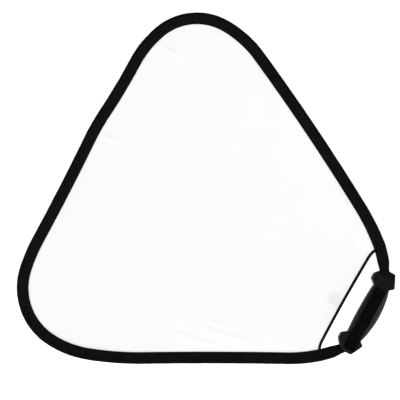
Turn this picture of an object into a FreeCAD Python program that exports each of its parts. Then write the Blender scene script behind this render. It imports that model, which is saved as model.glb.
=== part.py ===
import FreeCAD, Part
import math
import os

# Triangular collapsible reflector: a white fabric panel held open by a closed
# flat spring-steel band inside a sewn edge binding, with a moulded two-shell
# grip at one corner and a webbing hand strap along the front of the grip.
#
# Everything is drawn in the handle frame: X runs along the grip towards its
# upper collar, Z points from the grip into the panel, -Y is the front.
# The last step turns all pieces about Y so that the panel stands upright.
# The origin is the middle of the grip, in the plane of the spring band.
# All lengths are millimetres and all angles degrees.

V = FreeCAD.Vector
Y_AXIS = V(0, 1, 0)
Z_AXIS = V(0, 0, 1)
ACROSS = 100.0       # reaches across the whole grip
OVERLAP = 1.0        # how far a cutting shape passes what it cuts
FIT = 0.1            # gap between pieces that touch
TINY = 1e-9

HANDLE_TILT = 60.8

# Rim centreline, counter-clockwise from inside the upper collar round to
# inside the lower collar, as tangent arcs of (length, turn).
RIM_START = (75.4, 2.8)
RIM_HEADING = 32.7
RIM_STRETCHES = [
    (40.0, 7.7),     # out of the upper collar
    (35.0, 10.2),    # bend where the band leaves the grip
    (35.0, 5.2),     # flank of the handle corner, upper side
    (42.0, 5.0),     # easing into the right side
    (360.0, 4.5),    # right side of the triangle
    (90.0, 23.7),    # flank of the top corner
    (140.0, 70.1),   # core of the top corner
    (80.0, 22.0),    # flank of the top corner
    (115.0, -5.4),   # left side, drawn in above the band joint
    (65.0, 7.6),     # left side, over the stiff band joint
    (220.0, -2.6),   # left side below the joint
    (65.0, 10.9),    # flank of the left corner
    (160.0, 75.1),   # core of the left corner
    (80.0, 23.4),    # flank of the left corner
    (110.0, 9.9),    # long easing into the bottom side
    (285.0, -1.8),   # bottom side
    (125.0, 25.6),   # flank of the handle corner, lower side
]
JOINT_STRETCH = 9
BAND_FLANK = 3       # stretches over which the band crosses to the outer edge

# Edge binding, a folded tape: a drop-shaped section with the spring band in
# its round outer edge. It is gathered to a narrow, thick section at the grip.
BINDING_WIDTH = 23.2
BINDING_ROLL = 4.0
BINDING_LIP = 1.3
GATHERED_WIDTH = 19.0
GATHERED_ROLL = 4.6
GATHERED_LIP = 3.4
GATHERED_LENGTH = 16.0
GATHER_LENGTH = 20.0
GATHER_STEPS = 4
MOUTH_REACH = 14.0

# Spring band
BAND_THICKNESS = 1.2
BAND_WIDTH = 5.0
BAND_OFFSET = 7.6
BAND_MOUTH = (87.0, 10.5)
BAND_MOUTH_HEADING = 33.3
BAND_DIP = -15.5
SLEEVE_LENGTH = 46.0
SLEEVE_WALL = 0.5

# Panel and the tape on its free edge across the hand opening
PANEL_THICKNESS = 0.4
PANEL_TUCK = 2.0
TAPE_WIDTH = 5.6
TAPE_THICKNESS = 1.7
TAPE_APEX = 53.1
TAPE_MIDDLE = (95.0, -1.8)
TAPE_END = (22.5, -27.5)
TAPE_HEM = 1.6
HEM_RUN_OUT = 60.0
LABEL_WIDTH = 24.0
LABEL_LENGTH = 27.0
LABEL_THICKNESS = 0.4
LABEL_PLACE = (-10.0, 56.4)

# Grip: superellipse sections that bulge most on the palm side
GRIP_REACH = 58.0
GRIP_INNER = (17.5, 2.6)
GRIP_OUTER = (16.0, 8.4)
GRIP_DEPTH = (13.0, 2.5)
GRIP_POWER = 2.5
GRIP_STATIONS = 9
SECTION_POINTS = 32
PAD_EDGE = 11.9
PAD_THICKNESS = 2.0
PAD_REACH = 56.0
SHELL_WALL = 2.7
CAVITY_REACH = 50.0

# Collars: plan outline of the upper one with its corner radii (x, z, radius),
# and its side outline (x, half depth)
COLLAR_PLAN = [
    (50.0, -13.0, 0.0),
    (57.8, -14.6, 2.0),
    (64.4, -22.6, 2.2),
    (90.6, -10.4, 2.4),
    (91.2, 5.0, 2.4),
    (84.2, 18.4, 4.0),
    (73.2, 27.4, 5.0),
    (61.4, 27.4, 5.0),
    (53.6, 17.6, 2.5),
    (50.0, 14.0, 0.0),
]
COLLAR_SIDE = [(50.0, 14.5), (54.5, 19.0), (77.0, 19.0), (91.5, 11.5)]
COLLAR_ROUND = 1.0
STRAIGHT_ACROSS = 0.999      # an edge that runs square across the collar
CLAMP_SPAN = (58.5, 70.0)
CLAMP_HEIGHT = (-9.0, 5.5)
CLAMP_DEPTH = 6.0

# Screws, driven from the rear: (x, z) for the upper half of the grip
SCREW_PLACES = [(71.0, -13.6), (68.0, 19.4), (32.0, 3.0)]
SCREW_SHANK = 1.45
SCREW_HEAD = 3.0
SCREW_HEAD_HEIGHT = 2.2
SCREW_SEAT = 8.0
SCREW_TIP = -6.0
SCREW_POINT = 1.0
SCREW_CROSS = 1.8            # half length of the cross recess
SCREW_RECESS = 0.45          # half width of its arms
SHANK_PLAY = 0.25
HEAD_PLAY = 0.3
BOSS_RADIUS = 4.4

# Hand strap: webbing that bows in front of the grip between two steel pins
STRAP_WIDTH = 23.0
WEBBING = 1.5
PATCH = 1.4
PATCH_GAP = 0.3
STRAP_SPAN = 52.0
STRAP_FOOT = 15.5
STRAP_APEX = 24.0
STRAP_LOWER_RUN = 22.15
STRAP_UPPER_RUN = 12.65
PIN_RADIUS = 1.5
PIN_HALF_LENGTH = 15.2
PIN_PLAY = 0.05

# Rooms for the strap in the front shell, as (x, distance in front): a pocket
# in the upper collar and an open channel over the lower one
STRAP_CHANNEL = 24.4
STRAP_POCKET = [(44.0, 17.6), (57.0, 15.6), (68.5, 13.4), (68.5, 5.9), (60.0, 6.1), (44.0, 10.2)]
CHANNEL_MOUTH = (-44.0, 13.0)
CHANNEL_FLOOR = 7.0
CHANNEL_TOP = 26.0
CHANNEL_PAST_PIN = 5.0
CHANNEL_LIP = 3.4
CHANNEL_KNEE = (4.0, 7.4)

# The strap's end behind the upper pin, its patches, and its tab with its tip
STRAP_RETURN = [(5.5, -25.0), (5.5, 25.0), (5.0, 0.0)]
LOOP_SPAN = (12.0, 62.0)
HOOK_SPAN = (10.0, 46.0)
TAB_LENGTH = 52.0
TIP_LENGTH = 6.0
TIP_GRIP = 3.0
TIP_WALL = 0.45


# ---- tangent arc chains in a plane ---------------------------------------

def ahead(point, heading, length, turn):
    """Point and heading after a line or arc of this length and turn."""
    angle = math.radians(heading)
    bend = math.radians(turn)
    chord = length if abs(bend) < TINY else 2 * length / bend * math.sin(bend / 2)
    way = angle + bend / 2
    end = (point[0] + chord * math.cos(way), point[1] + chord * math.sin(way))
    return end, heading + turn


def walk(point, heading, stretches):
    """Chain of (start, heading, length, turn) from (length, turn) stretches."""
    chain = []
    for length, turn in stretches:
        chain.append((point, heading, length, turn))
        point, heading = ahead(point, heading, length, turn)
    return chain


def end_of(chain):
    return ahead(*chain[-1])


def outward(heading):
    """Unit vector to the right of a heading: away from the panel on the rim."""
    angle = math.radians(heading)
    return math.sin(angle), -math.cos(angle)


def offset(chain, distance):
    """The chain moved sideways, positive to the right of its heading."""
    moved = []
    for point, heading, length, turn in chain:
        nx, nz = outward(heading)
        start = (point[0] + nx * distance, point[1] + nz * distance)
        moved.append((start, heading, length + distance * math.radians(turn), turn))
    return moved


def stretch_of(chain, begin, end):
    """The piece of a chain between two distances along it."""
    piece = []
    run = 0.0
    for point, heading, length, turn in chain:
        low = max(begin - run, 0.0)
        high = min(end - run, length)
        if high > low:
            start, at = ahead(point, heading, low, turn * low / length)
            piece.append((start, at, high - low, turn * (high - low) / length))
        run += length
    return piece


def length_of(chain):
    return sum(stretch[2] for stretch in chain)


def biarc(start, start_heading, end, end_heading):
    """Two tangent arcs that join two points with given headings."""
    a0 = math.radians(start_heading)
    a1 = math.radians(end_heading)
    t0 = (math.cos(a0), math.sin(a0))
    t1 = (math.cos(a1), math.sin(a1))
    dx, dz = end[0] - start[0], end[1] - start[1]
    tx, tz = t0[0] + t1[0], t0[1] + t1[1]
    spread = 2 * (1 - t0[0] * t1[0] - t0[1] * t1[1])
    along = dx * tx + dz * tz
    if spread < TINY:
        reach = (dx * dx + dz * dz) / (2 * along)
    else:
        reach = (math.sqrt(along * along + spread * (dx * dx + dz * dz)) - along) / spread
    middle = (
        (start[0] + end[0] + reach * (t0[0] - t1[0])) / 2,
        (start[1] + end[1] + reach * (t0[1] - t1[1])) / 2,
    )
    return [arc_to(start, start_heading, middle), arc_back(middle, end, end_heading)]


def arc_to(start, heading, end):
    """The arc that leaves start with this heading and ends at end."""
    dx, dz = end[0] - start[0], end[1] - start[1]
    half = math.degrees(math.atan2(dz, dx)) - heading
    half = (half + 180) % 360 - 180
    bend = math.radians(half)
    length = math.hypot(dx, dz) * (bend / math.sin(bend) if abs(bend) > TINY else 1)
    return start, heading, length, 2 * half


def arc_back(start, end, end_heading):
    """The arc that leaves start and arrives at end with this heading."""
    dx, dz = end[0] - start[0], end[1] - start[1]
    chord = math.degrees(math.atan2(dz, dx))
    half = (end_heading - chord + 180) % 360 - 180
    return arc_to(start, end_heading - 2 * half, end)


# ---- edges, faces and solids from chains ---------------------------------

def in_plan(point, depth=0.0):
    """A point of the panel's plane (x, z)."""
    return V(point[0], depth, point[1])


def in_side(point, across=0.0):
    """A point of the strap's plane (x, distance in front of the band)."""
    return V(point[0], -point[1], across)


def edges(chain, place, level=0.0):
    made = []
    for point, heading, length, turn in chain:
        end, _ = ahead(point, heading, length, turn)
        if abs(turn) < TINY:
            made.append(Part.LineSegment(place(point, level), place(end, level)).toShape())
        else:
            half, _ = ahead(point, heading, length / 2, turn / 2)
            arc = Part.Arc(place(point, level), place(half, level), place(end, level))
            made.append(arc.toShape())
    return made


def outline(points, place, level=0.0):
    corners = [place(point, level) for point in points]
    return Part.makePolygon(corners + corners[:1])


def ribbon(chain, low, high, place, level, way):
    """Solid between two offsets of a chain, extruded along way."""
    one = offset(chain, low)
    two = offset(chain, high)
    sides = edges(one, place, level) + edges(two, place, level)
    for pick in (lambda c: c[0][0], lambda c: end_of(c)[0]):
        sides.append(Part.LineSegment(place(pick(one), level), place(pick(two), level)).toShape())
    wire = Part.Wire(Part.__sortEdges__(sides))
    return Part.Face(wire).extrude(way)


def at_start(wire, stretch):
    """A section drawn as (outward, depth) in XY, set square across a stretch."""
    point, heading = stretch[:2]
    turned = wire.copy()
    turned.Placement = FreeCAD.Placement(in_plan(point), FreeCAD.Rotation(Y_AXIS, 90 - heading))
    return turned


def swept(chain, wire):
    """Solid of one section carried along a chain of arcs."""
    pieces = []
    for stretch in chain:
        point, heading, length, turn = stretch
        radius = length / math.radians(turn)
        nx, nz = outward(heading)
        centre = V(point[0] - nx * radius, 0, point[1] - nz * radius)
        face = Part.Face(at_start(wire, stretch))
        pieces.append(face.revolve(centre, Y_AXIS, -turn))
    return joined(pieces)


def joined(pieces):
    whole = pieces[0]
    if len(pieces) > 1:
        whole = whole.fuse(pieces[1:])
    return single(whole.removeSplitter())


def single(shape):
    """The one solid of a shape, or a compound of its solids."""
    solids = shape.Solids
    return solids[0] if len(solids) == 1 else Part.Compound(solids)


def largest(shape):
    return max(shape.Solids, key=lambda solid: solid.Volume)


def block(x, y, z):
    """Box between three (low, high) pairs."""
    return Part.makeBox(x[1] - x[0], y[1] - y[0], z[1] - z[0], V(x[0], y[0], z[0]))


def mirrored(shape):
    """The same piece at the lower end of the grip."""
    return shape.mirror(V(0, 0, 0), V(1, 0, 0))


def rounded(corners, place, level=0.0):
    """Closed wire through (x, z, radius) corners, each rounded to its radius."""
    sides = []
    ends = []
    count = len(corners)
    for i, (x, z, radius) in enumerate(corners):
        here = V(x, z, 0)
        before = V(*corners[i - 1][:2], 0) - here
        after = V(*corners[(i + 1) % count][:2], 0) - here
        before.normalize()
        after.normalize()
        if radius == 0:
            ends.append((here, here))
            continue
        half = before.getAngle(after) / 2
        back = radius / math.tan(half)
        middle = before + after
        middle.normalize()
        deep = radius / math.sin(half) - radius
        tangent_in = here + before * back
        tangent_out = here + after * back
        crown = here + middle * deep
        arc = Part.Arc(*[place((p.x, p.y), level) for p in (tangent_in, crown, tangent_out)])
        sides.append(arc.toShape())
        ends.append((tangent_in, tangent_out))
    for i in range(count):
        out = ends[i][1]
        into = ends[(i + 1) % count][0]
        line = Part.LineSegment(place((out.x, out.y), level), place((into.x, into.y), level))
        sides.append(line.toShape())
    return Part.Wire(Part.__sortEdges__(sides))


# ---- rim -----------------------------------------------------------------

def drop_section(width, roll, lip):
    """Drop shape: a round outer edge of radius roll, tapering to a thin lip."""
    centre = width / 2 - roll
    inner = -width / 2
    reach = math.hypot(centre - inner, lip)
    touch = math.atan2(lip, inner - centre) - math.acos(roll / reach)
    tx, ty = centre + roll * math.cos(touch), roll * math.sin(touch)
    arc = Part.Arc(V(tx, -ty, 0), V(width / 2, 0, 0), V(tx, ty, 0))
    upper = Part.LineSegment(V(tx, ty, 0), V(inner, lip, 0))
    end = Part.LineSegment(V(inner, lip, 0), V(inner, -lip, 0))
    lower = Part.LineSegment(V(inner, -lip, 0), V(tx, -ty, 0))
    return Part.Wire([piece.toShape() for piece in (arc, upper, end, lower)])


def rect_section(half_width, half_depth):
    corners = [(-half_width, -half_depth), (half_width, -half_depth),
               (half_width, half_depth), (-half_width, half_depth)]
    return Part.makePolygon([V(x, y, 0) for x, y in corners + corners[:1]])


def gather_section(share):
    """Section of the binding, from gathered (0) to full width (1)."""
    ease = (1 - math.cos(math.pi * share)) / 2
    sizes = [(GATHERED_WIDTH, BINDING_WIDTH), (GATHERED_ROLL, BINDING_ROLL),
             (GATHERED_LIP, BINDING_LIP)]
    return drop_section(*[low + (high - low) * ease for low, high in sizes])


def gathered_sections(chain, narrow_first):
    """Sections set across a short chain, between gathered and full width."""
    run = length_of(chain)
    sections = []
    for i in range(GATHER_STEPS + 1):
        share = i / GATHER_STEPS
        place = end_of(chain) if i == GATHER_STEPS else stretch_of(chain, run * share, run)[0][:2]
        sections.append(at_start(gather_section(share if narrow_first else 1 - share), place))
    return sections


def binding_solid(rim):
    total = length_of(rim)
    narrow = GATHERED_LENGTH
    wide = GATHERED_LENGTH + GATHER_LENGTH
    gathered = gather_section(0)
    full = gather_section(1)
    upper = gathered_sections(stretch_of(rim, narrow, wide), True)
    lower = gathered_sections(stretch_of(rim, total - wide, total - narrow), False)
    return joined([
        swept(stretch_of(rim, 0, narrow), gathered),
        Part.makeLoft(upper, True),
        swept(stretch_of(rim, wide, total - wide), full),
        Part.makeLoft(lower, True),
        swept(stretch_of(rim, total - narrow, total), gathered),
    ])


def mouth_rooms(rim):
    """Space for the gathered binding through both collar mouths."""
    total = length_of(rim)
    section = drop_section(GATHERED_WIDTH + 2 * FIT, GATHERED_ROLL + FIT, GATHERED_LIP + FIT)
    reach = GATHERED_LENGTH + MOUTH_REACH
    return [swept(stretch_of(rim, 0, reach), section),
            swept(stretch_of(rim, total - reach, total), section)]


def band_path(rim):
    """Closed path of the spring band: along the outer edge of the binding,
    then through both collar mouths and the middle of the grip."""
    outer = offset(rim[BAND_FLANK:-1], BAND_OFFSET)
    end, end_heading = end_of(outer)
    start, start_heading = outer[0][0], outer[0][1]
    upper = BAND_MOUTH
    lower = (-BAND_MOUTH[0], BAND_MOUTH[1])
    lowest = (0.0, BAND_DIP)
    path = outer + biarc(end, end_heading, lower, 360 - BAND_MOUTH_HEADING)
    path += biarc(lower, 360 - BAND_MOUTH_HEADING, lowest, 360)
    path += biarc(lowest, 360, upper, 360 + BAND_MOUTH_HEADING)
    path += biarc(upper, 360 + BAND_MOUTH_HEADING, start, 360 + start_heading)
    return path


def band_sweep(path, clear):
    """The band's solid, widened all round by clear."""
    return swept(path, rect_section(BAND_THICKNESS / 2 + clear, BAND_WIDTH / 2 + clear))


def round_joint(rim, clear):
    """Solid that holds the band's joint, standing clear of the band."""
    middle = length_of(rim[:JOINT_STRETCH]) + rim[JOINT_STRETCH][2] / 2
    reach = SLEEVE_LENGTH / 2 + clear
    span = stretch_of(rim, middle - reach, middle + reach)
    section = rect_section(BAND_THICKNESS / 2 + clear, BAND_WIDTH / 2 + clear)
    return swept(offset(span, BAND_OFFSET), section)


# ---- panel ---------------------------------------------------------------

def tape_chain():
    half = walk((0.0, TAPE_APEX), 0.0, [TAPE_MIDDLE, TAPE_END])
    end, heading = end_of(half)
    middle = (2 * TAPE_MIDDLE[0], 2 * TAPE_MIDDLE[1])
    return walk((-end[0], end[1]), -heading, [TAPE_END, middle, TAPE_END])


def panel_plate(rim, grow, thickness):
    """Flat fabric inside the rim, cut off along the tape; grow widens it."""
    edge = offset(rim, grow - PANEL_TUCK)
    sides = edges(edge, in_plan, -thickness / 2)
    close = Part.LineSegment(in_plan(end_of(edge)[0], -thickness / 2),
                             in_plan(edge[0][0], -thickness / 2))
    wire = Part.Wire(Part.__sortEdges__(sides + [close.toShape()]))
    plate = Part.Face(wire).extrude(V(0, thickness, 0))
    hem = offset(tape_chain(), TAPE_HEM + grow)
    start, start_heading = hem[0][0], hem[0][1]
    end, end_heading = end_of(hem)
    left, _ = ahead(start, start_heading + 180, HEM_RUN_OUT, 0)
    right, _ = ahead(end, end_heading, HEM_RUN_OUT, 0)
    foot = -2 * ACROSS
    corners = [end, right, (right[0], foot), (left[0], foot), left, start]
    level = -thickness - OVERLAP
    lines = [Part.LineSegment(in_plan(a, level), in_plan(b, level)).toShape()
             for a, b in zip(corners, corners[1:])]
    below = Part.Wire(Part.__sortEdges__(edges(hem, in_plan, level) + lines))
    cutter = Part.Face(below).extrude(V(0, -2 * level, 0))
    return single(plate.cut(cutter))


def edge_tape(clear):
    """Folded tape round the panel's free edge; clear widens it."""
    chain = tape_chain()
    return swept(chain, rect_section(TAPE_WIDTH / 2 + clear, TAPE_THICKNESS / 2 + clear))


def sewn_label():
    x, z = LABEL_PLACE
    back = PANEL_THICKNESS / 2 + FIT
    return block((x - LABEL_WIDTH / 2, x + LABEL_WIDTH / 2), (back, back + LABEL_THICKNESS),
                 (z, z + LABEL_LENGTH))


# ---- grip ----------------------------------------------------------------

def bulge(sizes, x):
    return sizes[0] + sizes[1] * (1 - (x / GRIP_REACH) ** 2)


def grip_section(x, inset):
    """Superellipse across the grip at x, drawn in by inset."""
    inner = bulge(GRIP_INNER, x) - inset
    outer = bulge(GRIP_OUTER, x) - inset
    depth = bulge(GRIP_DEPTH, x) - inset
    middle, half = (inner - outer) / 2, (inner + outer) / 2
    points = []
    for i in range(SECTION_POINTS):
        angle = 2 * math.pi * i / SECTION_POINTS
        c, s = math.cos(angle), math.sin(angle)
        z = middle + half * math.copysign(abs(c) ** (2 / GRIP_POWER), c)
        y = depth * math.copysign(abs(s) ** (2 / GRIP_POWER), s)
        points.append(V(x, y, z))
    curve = Part.BSplineCurve()
    curve.interpolate(points, PeriodicFlag=True)
    return Part.Wire([curve.toShape()])


def grip_solid(inset, reach):
    step = 2 * reach / (GRIP_STATIONS - 1)
    sections = [grip_section(-reach + i * step, inset) for i in range(GRIP_STATIONS)]
    return Part.makeLoft(sections, True)


def grip_pads():
    """Soft pads set flush into the palm side and the finger side."""
    core = grip_solid(PAD_THICKNESS - FIT, PAD_REACH + OVERLAP)
    layer = grip_solid(0, PAD_REACH).cut(core)
    ends = (-PAD_REACH - OVERLAP, PAD_REACH + OVERLAP)
    deep = (-ACROSS, ACROSS)
    palm = single(layer.common(block(ends, deep, (-ACROSS, -PAD_EDGE - FIT))))
    fingers = single(layer.common(block(ends, deep, (PAD_EDGE + FIT, ACROSS))))
    return palm, fingers


def pad_recesses():
    core = grip_solid(PAD_THICKNESS, PAD_REACH + OVERLAP)
    layer = grip_solid(-OVERLAP, PAD_REACH + FIT).cut(core)
    ends = (-PAD_REACH - FIT, PAD_REACH + FIT)
    deep = (-ACROSS, ACROSS)
    return [layer.common(block(ends, deep, (-ACROSS, -PAD_EDGE))),
            layer.common(block(ends, deep, (PAD_EDGE, ACROSS)))]


def collar():
    """The upper collar: its plan outline and its side outline, intersected."""
    deep = max(half for _, half in COLLAR_SIDE) + OVERLAP
    plan = Part.Face(rounded(COLLAR_PLAN, in_plan, -deep)).extrude(V(0, 2 * deep, 0))
    side_points = [(x, half) for x, half in COLLAR_SIDE]
    side_points += [(x, -half) for x, half in reversed(COLLAR_SIDE)]
    side = Part.Face(outline(side_points, in_side, -ACROSS)).extrude(V(0, 0, 2 * ACROSS))
    body = single(plan.common(side))
    rims = [edge for edge in body.Edges if on_broad_rim(edge)]
    return single(body.makeFillet(COLLAR_ROUND, rims))


def on_broad_rim(edge):
    """True for the plan edges of a collar's front and rear, short of the mouth."""
    ends = [vertex.Point for vertex in edge.Vertexes]
    one_side = ends[0].y * ends[-1].y > 0
    across = abs(edge.tangentAt(edge.FirstParameter).z) > STRAIGHT_ACROSS
    root, mouth = COLLAR_SIDE[0][0], COLLAR_SIDE[-1][0]
    inside = all(root - OVERLAP < end.x < mouth - 2 * OVERLAP for end in ends)
    return one_side and inside and not across


def cylinder_y(x, z, radius, low, high):
    return Part.makeCylinder(radius, high - low, V(x, low, z), Y_AXIS)


def screw_places():
    return [(side * x, z) for x, z in SCREW_PLACES for side in (1, -1)]


def screw(x, z):
    """Pan-head screw with a cross recess, its head towards the rear."""
    point = SCREW_TIP + SCREW_POINT
    shank = cylinder_y(x, z, SCREW_SHANK, point, SCREW_SEAT)
    tip = Part.makeCone(SCREW_SHANK, SCREW_SHANK / 3, SCREW_POINT, V(x, point, z), -Y_AXIS)
    head = cylinder_y(x, z, SCREW_HEAD, SCREW_SEAT, SCREW_SEAT + SCREW_HEAD_HEIGHT)
    crown = [edge for edge in head.Edges
             if edge.Closed and edge.Vertexes[0].Point.y > SCREW_SEAT + SCREW_HEAD_HEIGHT / 2]
    head = head.makeFillet(SCREW_HEAD_HEIGHT / 3, crown)
    recess = (SCREW_SEAT + SCREW_HEAD_HEIGHT / 3, SCREW_SEAT + 2 * SCREW_HEAD_HEIGHT)
    cross = [block((x - SCREW_CROSS, x + SCREW_CROSS), recess, (z - SCREW_RECESS, z + SCREW_RECESS)),
             block((x - SCREW_RECESS, x + SCREW_RECESS), recess, (z - SCREW_CROSS, z + SCREW_CROSS))]
    return single(joined([head, shank, tip]).cut(cross))


# ---- hand strap ----------------------------------------------------------

def strap_chain():
    """Centreline of the strap in the side plane, from behind the lower pin,
    over the grip, round the upper pin and back under itself."""
    rise = STRAP_APEX - STRAP_FOOT
    radius = (STRAP_SPAN ** 2 + rise ** 2) / (2 * rise)
    slope = math.degrees(math.asin(STRAP_SPAN / radius))
    wrap = PIN_RADIUS + PIN_PLAY + WEBBING / 2
    stretches = [
        (STRAP_LOWER_RUN, 0.0),
        (radius * math.radians(2 * slope), -2 * slope),
        (STRAP_UPPER_RUN, 0.0),
        (wrap * math.pi, -180.0),
    ] + STRAP_RETURN
    start, _ = ahead((-STRAP_SPAN, STRAP_FOOT), slope + 180, STRAP_LOWER_RUN, 0)
    return walk(start, slope, stretches), wrap


def beside(stretch, distance):
    """The point beside the start of a stretch, positive to its right."""
    return offset([stretch], distance)[0][0]


def across_strap(chain, low, high, width):
    return ribbon(chain, low, high, in_side, -width / 2, V(0, 0, width))


def pin_at(centre):
    return Part.makeCylinder(PIN_RADIUS, 2 * PIN_HALF_LENGTH,
                             in_side(centre, -PIN_HALF_LENGTH), Z_AXIS)


def pin_hole(centre):
    """Bore for a strap pin, open towards the palm side for pushing it in."""
    return Part.makeCylinder(PIN_RADIUS + PIN_PLAY, PIN_HALF_LENGTH + ACROSS,
                             in_side(centre, -ACROSS), Z_AXIS)


def strap_pieces():
    chain, wrap = strap_chain()
    lower_pin = beside(chain[0], -wrap)
    upper_pin = beside(chain[3], wrap)
    face = -WEBBING / 2
    loop_top = face - PATCH
    hook_low = loop_top - PATCH_GAP
    tab_low = hook_low - PATCH
    tab_top = tab_low - WEBBING
    tab = across_strap(stretch_of(chain, 0, TAB_LENGTH), tab_top, tab_low, STRAP_WIDTH)
    tip_span = stretch_of(chain, TAB_LENGTH - TIP_GRIP, TAB_LENGTH + TIP_LENGTH)
    tip = across_strap(tip_span, tab_top - TIP_WALL - FIT, tab_low + TIP_WALL + FIT,
                       STRAP_WIDTH + 2 * TIP_WALL)
    room = across_strap(stretch_of(chain, 0, TAB_LENGTH + FIT), tab_top - FIT, tab_low + FIT,
                        STRAP_WIDTH + FIT)
    narrow = STRAP_WIDTH - 2
    return {
        "hand_strap": across_strap(chain, face, -face, STRAP_WIDTH),
        "loop_patch": across_strap(stretch_of(chain, *LOOP_SPAN), loop_top, face, narrow),
        "hook_patch": across_strap(stretch_of(chain, *HOOK_SPAN), tab_low, hook_low, narrow),
        "strap_tab": tab,
        "strap_tip": single(tip.cut(room)),
        "strap_pin_upper": pin_at(upper_pin),
        "strap_pin_lower": pin_at(lower_pin),
    }, upper_pin, lower_pin


def strap_rooms(lower_pin):
    """Pocket in the upper collar and open channel in the lower collar."""
    half = STRAP_CHANNEL / 2
    x = lower_pin[0]
    end = x - CHANNEL_PAST_PIN
    ramp = CHANNEL_TOP - CHANNEL_FLOOR - CHANNEL_LIP
    channel = [(CHANNEL_MOUTH[0], CHANNEL_TOP), CHANNEL_MOUTH, (x + CHANNEL_KNEE[0], CHANNEL_KNEE[1]),
               (end, CHANNEL_FLOOR), (end, CHANNEL_FLOOR + CHANNEL_LIP), (end - ramp, CHANNEL_TOP)]
    return [Part.Face(outline(points, in_side, -half)).extrude(V(0, 0, 2 * half))
            for points in (STRAP_POCKET, channel)]


# ---- handle shells -------------------------------------------------------

def handle_shells(rooms):
    """Front and rear shells, split in the plane of the spring band."""
    upper = collar()
    whole = joined([grip_solid(0, GRIP_REACH), upper, mirrored(upper)])
    inside = grip_solid(PAD_THICKNESS + SHELL_WALL, CAVITY_REACH)
    bosses = [cylinder_y(x, z, BOSS_RADIUS, -ACROSS, ACROSS) for x, z in screw_places()
              if abs(x) < CAVITY_REACH]
    hollow = inside.cut(bosses)
    whole = whole.cut(pad_recesses() + [hollow] + rooms)
    deep = max(half for _, half in COLLAR_SIDE) + OVERLAP
    for x, z in screw_places():
        whole = whole.cut([
            cylinder_y(x, z, SCREW_SHANK + FIT / 2, SCREW_TIP - OVERLAP, 0),
            cylinder_y(x, z, SCREW_SHANK + SHANK_PLAY, 0, SCREW_SEAT),
            cylinder_y(x, z, SCREW_HEAD + HEAD_PLAY, SCREW_SEAT, deep),
        ])
    wide = (-ACROSS, ACROSS)
    front = whole.common(block(wide, (-deep, 0), wide))
    rear = whole.common(block(wide, (0, deep), wide))
    return single(front), single(rear)


# ---- assembly ------------------------------------------------------------

def build():
    rim = walk(RIM_START, RIM_HEADING, RIM_STRETCHES)
    path = band_path(rim)
    clamp = block(CLAMP_SPAN, (-CLAMP_DEPTH, CLAMP_DEPTH), CLAMP_HEIGHT)
    strap, upper_pin, lower_pin = strap_pieces()

    band_room = band_sweep(path, FIT)
    sleeve = round_joint(rim, FIT + SLEEVE_WALL)
    sleeve_room = round_joint(rim, FIT + SLEEVE_WALL + FIT)
    panel_room = panel_plate(rim, FIT, PANEL_THICKNESS + 2 * FIT)
    shell_rooms = mouth_rooms(rim) + strap_rooms(lower_pin)
    shell_rooms += [band_room, clamp, mirrored(clamp), pin_hole(upper_pin), pin_hole(lower_pin)]

    nodes = {
        "rim_spring_band": band_sweep(path, 0),
        "band_joint_sleeve": single(sleeve.cut(band_room)),
        "edge_binding": largest(binding_solid(rim).cut([
            band_room, sleeve_room, panel_room, edge_tape(FIT)])),
        "white_panel": panel_plate(rim, 0, PANEL_THICKNESS),
        "panel_edge_tape": largest(edge_tape(0).cut(panel_room)),
        "sewn_label": sewn_label(),
        "rim_clamp_upper": single(clamp.cut(band_room)),
        "rim_clamp_lower": single(mirrored(clamp).cut(band_room)),
        "shell_screws": Part.Compound([screw(x, z) for x, z in screw_places()]),
    }
    nodes["handle_front_shell"], nodes["handle_rear_shell"] = handle_shells(shell_rooms)
    nodes["grip_pad_palm"], nodes["grip_pad_fingers"] = grip_pads()
    nodes.update(strap)
    return nodes


upright = FreeCAD.Placement(V(0, 0, 0), FreeCAD.Rotation(Y_AXIS, -HANDLE_TILT))
os.makedirs("parts", exist_ok=True)
for name, shape in build().items():
    placed = shape.copy()
    placed.Placement = upright.multiply(placed.Placement)
    placed.exportStep(os.path.join("parts", name + ".step"))
    box = placed.BoundBox
    print(f"{name:20s} solids {len(placed.Solids)} valid {placed.isValid()} "
          f"volume {placed.Volume:10.1f} x {box.XMin:.1f}..{box.XMax:.1f} "
          f"y {box.YMin:.1f}..{box.YMax:.1f} z {box.ZMin:.1f}..{box.ZMax:.1f}")
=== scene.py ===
import math

import bpy
import numpy as np
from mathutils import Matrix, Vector, geometry
from mathutils.kdtree import KDTree


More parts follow.
